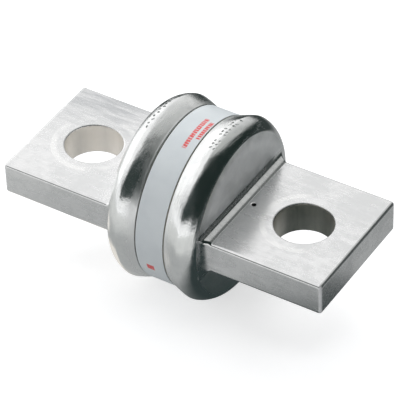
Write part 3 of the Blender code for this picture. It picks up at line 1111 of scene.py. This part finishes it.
def clearableGlow(name, makeParts):
    # an emission that fades out to clear where its mask does
    material = bpy.data.materials.new(name)
    tree = emptyTree(material)
    place = tree.nodes.new("ShaderNodeTexCoord").outputs["Object"]
    colour, mask = makeParts(tree, place)
    glow = addNode(tree, "ShaderNodeEmission", Color=colour)
    clear = tree.nodes.new("ShaderNodeBsdfTransparent")
    endTree(tree, mixShaders(tree, mask, clear.outputs[0], glow.outputs[0]))
    return material


# angles round the fuse run from the front (0) to the right (90); heights are above the horizon
darkTent = {
    "radius": 1.0,
    "leftFrom": (15, -52),       # height, then the angle of the left edge there
    "leftTo": (75, 16),
    "leftFade": (-25, 20),
    "topFrom": (112, 66),        # angle, then the height of the top edge there
    "topTo": (180, 3),
    "topEnd": (190, 212),        # the dark part ends here, round at the back left
    "topFade": -5,
    "topFrontFade": 44,
    "topBackFade": 9,
    "topFadeTurn": (90, 140),    # angles between which the front fade becomes the back one
    "paleTurn": (10, 50),        # angles over which the pale tone gives way
    "lowFrom": (35, 10),
    "lowTo": (60, -25),
    "lowFade": (-2, 3),
    "greyFade": (158, 215),
    "tone": (0.016, 0.025, 0.023, 1),
    "paleTone": (0.040, 0.052, 0.050, 1),
    "greyTone": (0.50, 0.51, 0.50, 1),
}


def sphereAngles(tree, place, radius):
    # the angle round the fuse, from -90 to 270 degrees, and the height above the horizon
    split = axesOf(tree, place)
    back = product(tree, split["Y"], -1.0)
    around = product(tree, maths(tree, "ARCTAN2", split["X"], back), 180 / math.pi)
    # divided by slightly more than the radius, so that the arcsine never gets more than 1
    rise = maths(tree, "ARCSINE", maths(tree, "DIVIDE", split["Z"], radius * 1.001))
    return maths(tree, "WRAP", around, 270.0, -90.0), product(tree, rise, 180 / math.pi)


def edgeLine(tree, value, start, end):
    return remap(tree, value, start[0], end[0], start[1], end[1], smooth=False)


def tentParts(tree, place):
    tent = darkTent
    around, height = sphereAngles(tree, place, tent["radius"])
    leftLine = edgeLine(tree, height, tent["leftFrom"], tent["leftTo"])
    left = fadeIn(tree, maths(tree, "SUBTRACT", around, leftLine), *tent["leftFade"])
    topLine = edgeLine(tree, around, tent["topFrom"], tent["topTo"])
    topFade = remap(tree, around, *tent["topFadeTurn"], tent["topFrontFade"], tent["topBackFade"])
    under = fadeOut(tree, maths(tree, "SUBTRACT", height, topLine), tent["topFade"], topFade)
    top = product(tree, under, fadeOut(tree, around, *tent["topEnd"]))
    lowLine = edgeLine(tree, around, tent["lowFrom"], tent["lowTo"])
    low = fadeIn(tree, maths(tree, "SUBTRACT", height, lowLine), *tent["lowFade"])
    grey = fadeOut(tree, around, *tent["greyFade"])
    mask = product(tree, left, maths(tree, "MAXIMUM", top, grey), low)
    dark = blend(tree, fadeOut(tree, around, *tent["paleTurn"]), tent["tone"], tent["paleTone"])
    return blend(tree, top, tent["greyTone"], dark), mask


def addTent():
    deselectAll()
    bpy.ops.mesh.primitive_uv_sphere_add(
        segments=96, ring_count=48, radius=darkTent["radius"], location=(0, 0, 0))
    tent = bpy.context.object
    tent.name = "darkTent"
    tent.data.materials.append(clearableGlow("darkTent", tentParts))
    onlyInReflections(tent)


# what mirrors see of the floor, painted: darker near the fuse in front, dark far off towards the back right
greyBoard = {
    "radius": 0.9,
    "z": -0.0203,                     # just above the floor
    "fade": (0.10, 0.60),             # metres out, from solid to clear
    "turn": (0.5, 0.866),             # from the pale side towards the darker side, in x and y
    "turnFade": (-0.020, 0.012),
    "near": (0.42, 0.43, 0.43, 1),
    "pale": (0.68, 0.69, 0.68, 1),
    "paleFade": (0.042, 0.085),
    "middle": (0.37, 0.38, 0.38, 1),
    "far": (0.040, 0.050, 0.048, 1),
    "farFade": (0.065, 0.115),
    # painted light and shade in the reflections: pale warm patches of lit floor, and dark patches that are a
    # painted shadow of the fuse
    "patches": [
        {"tone": (0.84, 0.805, 0.755, 1), "place": (-0.020, -0.013, 0), "turn": 0,
         "size": (0.009, 0.012, 1), "soft": (0.7, 1.3)},
        {"tone": (0.88, 0.85, 0.81, 1), "place": (-0.045, -0.008, 0), "turn": 0,
         "size": (0.011, 0.013, 1), "soft": (0.7, 1.3)},
        {"tone": (0.88, 0.86, 0.82, 1), "place": (-0.018, 0.020, 0), "turn": 0,
         "size": (0.009, 0.009, 1), "soft": (0.7, 1.3)},
        {"tone": (0.050, 0.060, 0.060, 1), "place": (0.050, -0.002, 0), "turn": 0,
         "size": (0.012, 0.014, 1), "soft": (0.65, 1.55)},
        {"tone": (0.035, 0.048, 0.048, 1), "place": (0.038, -0.014, 0), "turn": -15,
         "size": (0.040, 0.024, 1), "soft": (0.7, 1.25)},
    ],
}


def patchMask(tree, place, spot):
    local = addNode(
        tree, "ShaderNodeMapping", settings={"vector_type": "TEXTURE"}, Vector=place, Location=spot["place"],
        Rotation=(0, 0, math.radians(spot["turn"])), Scale=spot["size"])
    return fadeOut(tree, lengthAlong(tree, axesOf(tree, local.outputs["Vector"]), "XY"), *spot["soft"])


def boardParts(tree, place):
    board = greyBoard
    split = axesOf(tree, place)
    across = weighted(tree, *zip((split["X"], split["Y"]), board["turn"]))
    side = fadeIn(tree, across, *board["turnFade"])
    far = lengthAlong(tree, split, "XY")
    front = blend(tree, fadeIn(tree, far, *board["paleFade"]), board["near"], board["pale"])
    rear = blend(tree, fadeIn(tree, far, *board["farFade"]), board["middle"], board["far"])
    colour = blend(tree, side, front, rear)
    for spot in board["patches"]:
        colour = blend(tree, patchMask(tree, place, spot), colour, spot["tone"])
    return colour, maths(tree, "MAXIMUM", fadeOut(tree, far, *board["fade"]), side)


def addBoard():
    deselectAll()
    bpy.ops.mesh.primitive_circle_add(
        vertices=96, radius=greyBoard["radius"], fill_type="NGON", location=(0, 0, greyBoard["z"]))
    board = bpy.context.object
    board.name = "greyBoard"
    fixPlace(board)
    board.data.materials.append(clearableGlow("greyBoard", boardParts))
    onlyInReflections(board)


brightCard = {"az": -104, "el": 14, "far": 0.85, "size": (1.05, 0.75), "strength": 1.3}


def addBrightCard():
    az = math.radians(brightCard["az"])
    el = math.radians(brightCard["el"])
    far = brightCard["far"]
    place = (far * math.sin(az) * math.cos(el), -far * math.cos(az) * math.cos(el), far * math.sin(el))
    deselectAll()
    bpy.ops.mesh.primitive_plane_add(size=1, location=place, rotation=(math.radians(90) - el, 0, az))
    card = bpy.context.object
    card.name = "brightCard"
    card.scale = (*brightCard["size"], 1)
    card.data.materials.append(emissionMaterial("brightCard", (1, 1, 1, 1), brightCard["strength"]))
    onlyInReflections(card)


makeFloor()
makeWorld()
addLamps()
addTent()
addBoard()
addBrightCard()
print("studio built")
